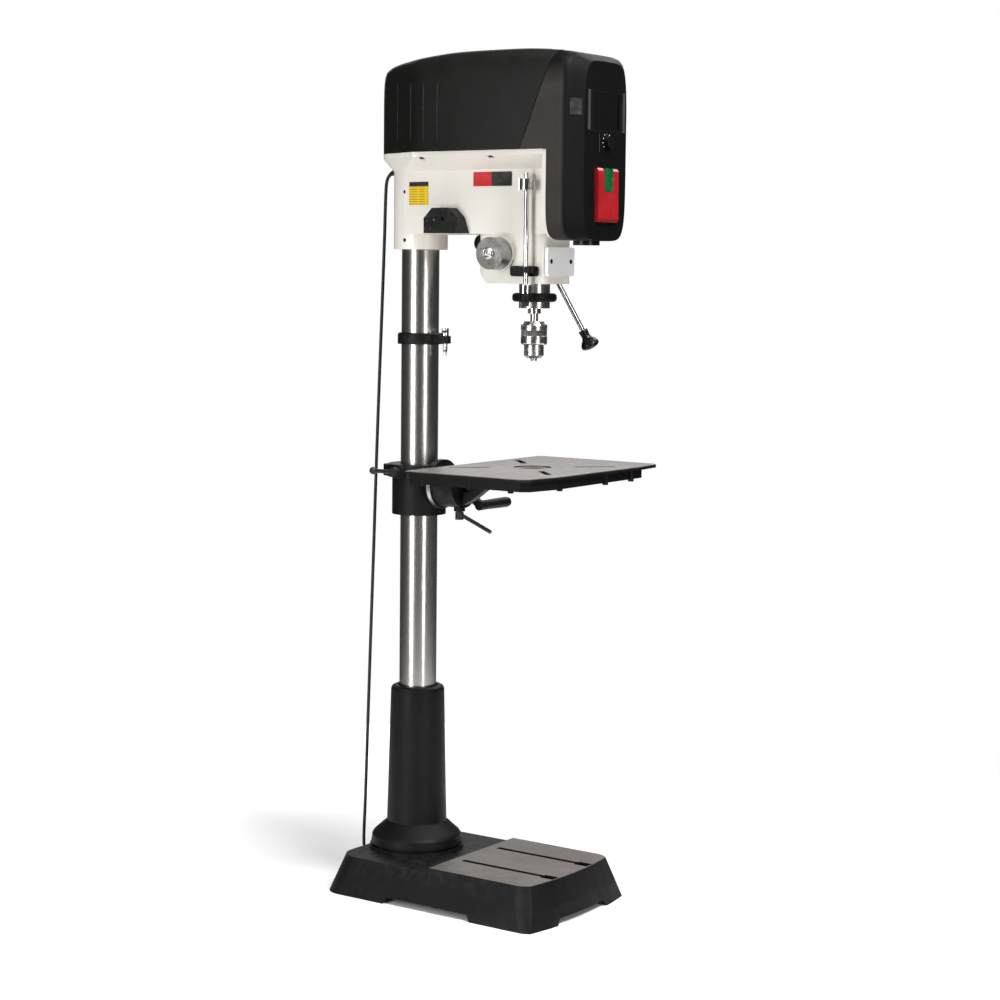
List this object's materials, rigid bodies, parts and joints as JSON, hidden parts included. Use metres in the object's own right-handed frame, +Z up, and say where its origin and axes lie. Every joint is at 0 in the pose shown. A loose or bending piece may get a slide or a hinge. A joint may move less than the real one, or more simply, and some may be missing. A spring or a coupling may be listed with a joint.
{
  "type": "drill press",
  "caption": "Floor-standing drill press with a black cover, cream head casting, round steel column and tilting rectangular table.",
  "frame": {"origin": "Centre of the base's four anchor holes, on the floor", "axes": "+Z up along the column, -Y towards the operator, +X to the operator's right"},
  "size_m": [0.5066, 0.6889, 1.7803],
  "materials": {
    "black_casting": "textured black paint on cast iron",
    "cream_paint": "off-white enamel on cast iron",
    "ground_iron": "ground cast iron, lightly oiled",
    "ground_steel": "ground steel",
    "bright_steel": "bright machined steel",
    "dark_steel": "dark oiled steel",
    "black_steel": "black oxide steel",
    "chrome": "polished chrome plate",
    "aluminium": "cast and turned aluminium",
    "black_plastic": "textured black moulding",
    "gloss_black": "satin black moulding",
    "display": "dark display glass",
    "red_plastic": "red moulding",
    "green_plastic": "green moulding",
    "rubber": "black cord rubber"
  },
  "bodies": {
    "stand": {"base_casting": "black_casting", "column_foot": "black_casting", "foot_bolts": "black_steel", "column_tube": "ground_steel", "rack_collar": "black_casting", "set_screws": "black_steel", "head_casting": "cream_paint", "cap_screws": "black_steel", "motor_stator": "aluminium", "cover_rear": "black_plastic", "cover_front": "black_plastic", "cover_latch": "black_plastic", "control_panel": "gloss_black", "display_glass": "display", "switch_housing": "gloss_black", "work_lamp": "gloss_black", "front_plate": "cream_paint", "tool_holder": "black_plastic", "hex_keys": "bright_steel", "name_plate": "red_plastic", "spring_cap": "dark_steel", "return_spring": "dark_steel", "depth_bracket": "black_plastic", "cord_gland": "rubber", "power_cord": "rubber", "cord_coil": "rubber", "plug": "rubber"},
    "rack_ring": {"rack": "dark_steel"},
    "bracket": {"table_bracket": "black_casting", "tilt_scale": "aluminium", "tilt_bolt": "black_steel"},
    "column_lever": {"column_lock": "black_steel"},
    "wheel": {"worm_wheel": "dark_steel"},
    "crank": {"worm_shaft": "dark_steel", "crank_arm": "black_casting"},
    "grip": {"crank_grip": "black_plastic"},
    "table": {"table_arm": "black_casting", "table_top": "ground_iron"},
    "tilt_lever": {"tilt_lock": "black_steel"},
    "key": {"chuck_key": "bright_steel"},
    "rotor": {"motor_rotor": "dark_steel"},
    "dial": {"speed_dial": "gloss_black"},
    "start": {"start_button": "green_plastic"},
    "stop": {"stop_paddle": "red_plastic"},
    "feed": {"feed_shaft": "ground_steel", "feed_hub": "black_steel", "handle_rods": "chrome", "handle_knobs": "gloss_black", "cap_nut": "bright_steel"},
    "quill": {"quill": "ground_steel", "quill_bearings": "bright_steel", "quill_collar": "black_casting", "depth_rod": "chrome"},
    "depth_stop": {"depth_nut": "chrome"},
    "spindle": {"spindle": "ground_steel", "chuck_body": "chrome"},
    "sleeve": {"chuck_sleeve": "chrome"},
    "jaw_a": {"jaw_1": "bright_steel"},
    "jaw_b": {"jaw_2": "bright_steel"},
    "jaw_c": {"jaw_3": "bright_steel"}
  },
  "joints": [
    {"name": "table_swing", "type": "hinge", "parent": "stand", "child": "rack_ring", "pos_m": [0, 0.161, 0.8], "axis": [0, 0, 1], "range_deg": [-90, 45]},
    {"name": "table_height", "type": "slide", "parent": "rack_ring", "child": "bracket", "axis": [0, 0, 1], "range_m": [-0.36, 0.21]},
    {"name": "wheel_turn", "type": "hinge", "parent": "bracket", "child": "wheel", "pos_m": [0.0615, 0.161, 0.856], "axis": [0, 1, 0], "range_deg": [-1010, 1730]},
    {"name": "crank_turn", "type": "hinge", "parent": "bracket", "child": "crank", "pos_m": [0.1, 0.2, 0.8865], "axis": [1, 0, 0], "range_deg": [-10100, 17300]},
    {"name": "grip_spin", "type": "hinge", "parent": "crank", "child": "grip", "pos_m": [0.2, 0.10522, 0.82136], "axis": [1, 0, 0], "continuous": true},
    {"name": "column_lever_turn", "type": "hinge", "parent": "bracket", "child": "column_lever", "pos_m": [-0.084, 0.161, 0.907], "axis": [1, 0, 0], "range_deg": [-50, 50]},
    {"name": "table_tilt", "type": "hinge", "parent": "bracket", "child": "table", "pos_m": [0, 0.071, 0.881], "axis": [0, -1, 0], "range_deg": [-45, 45]},
    {"name": "tilt_lever_turn", "type": "hinge", "parent": "table", "child": "tilt_lever", "pos_m": [0, 0.053, 0.827], "axis": [0, 0, 1], "range_deg": [-50, 50]},
    {"name": "key_lift", "type": "slide", "parent": "stand", "child": "key", "axis": [0, 0, 1], "range_m": [0, 0.07]},
    {"name": "motor_spin", "type": "hinge", "parent": "stand", "child": "rotor", "pos_m": [0, -0.133, 1.64], "axis": [0, 0, 1], "continuous": true},
    {"name": "speed_turn", "type": "hinge", "parent": "stand", "child": "dial", "pos_m": [0.006, -0.305, 1.594], "axis": [0, 1, 0], "range_deg": [0, 300]},
    {"name": "start_press", "type": "slide", "parent": "stand", "child": "start", "axis": [0, 1, 0], "range_m": [0, 0.0035], "stiffness_N_per_m": 400, "springref_m": -0.002},
    {"name": "stop_press", "type": "hinge", "parent": "stand", "child": "stop", "pos_m": [0, -0.297, 1.537], "axis": [1, 0, 0], "range_deg": [0, 4], "stiffness_Nm_per_rad": 2, "springref_deg": -2.86},
    {"name": "quill_slide", "type": "slide", "parent": "stand", "child": "quill", "axis": [0, 0, 1], "range_m": [-0.15, 0], "stiffness_N_per_m": 650, "springref_m": 0.17},
    {"name": "feed_turn", "type": "hinge", "parent": "stand", "child": "feed", "pos_m": [0.05, -0.088, 1.37], "axis": [1, 0, 0], "range_deg": [-1, 540]},
    {"name": "depth_stop_slide", "type": "slide", "parent": "quill", "child": "depth_stop", "axis": [0, 0, -1], "range_m": [0, 0.145]},
    {"name": "spindle_spin", "type": "hinge", "parent": "quill", "child": "spindle", "pos_m": [0, -0.133, 1.3], "axis": [0, 0, 1], "continuous": true},
    {"name": "chuck_turn", "type": "hinge", "parent": "spindle", "child": "sleeve", "pos_m": [0, -0.133, 1.2], "axis": [0, 0, 1], "range_deg": [0, 4320]},
    {"name": "jaw_a_slide", "type": "slide", "parent": "spindle", "child": "jaw_a", "axis": [0.2241, 0.1294, 0.9659], "range_m": [0, 0.024]},
    {"name": "jaw_b_slide", "type": "slide", "parent": "spindle", "child": "jaw_b", "axis": [-0.2241, 0.1294, 0.9659], "range_m": [0, 0.024]},
    {"name": "jaw_c_slide", "type": "slide", "parent": "spindle", "child": "jaw_c", "axis": [0, -0.2588, 0.9659], "range_m": [0, 0.024]}
  ],
  "couplings": [
    {"joint": "wheel_turn", "follows": "table_height", "rad_per_m": -83.333},
    {"joint": "crank_turn", "follows": "table_height", "rad_per_m": -833.33},
    {"joint": "feed_turn", "follows": "quill_slide", "rad_per_m": -62.5},
    {"joint": "spindle_spin", "follows": "motor_spin", "ratio": 1},
    {"joint": "jaw_a_slide", "follows": "chuck_turn", "m_per_rad": 0.000318},
    {"joint": "jaw_b_slide", "follows": "chuck_turn", "m_per_rad": 0.000318},
    {"joint": "jaw_c_slide", "follows": "chuck_turn", "m_per_rad": 0.000318}
  ]
}
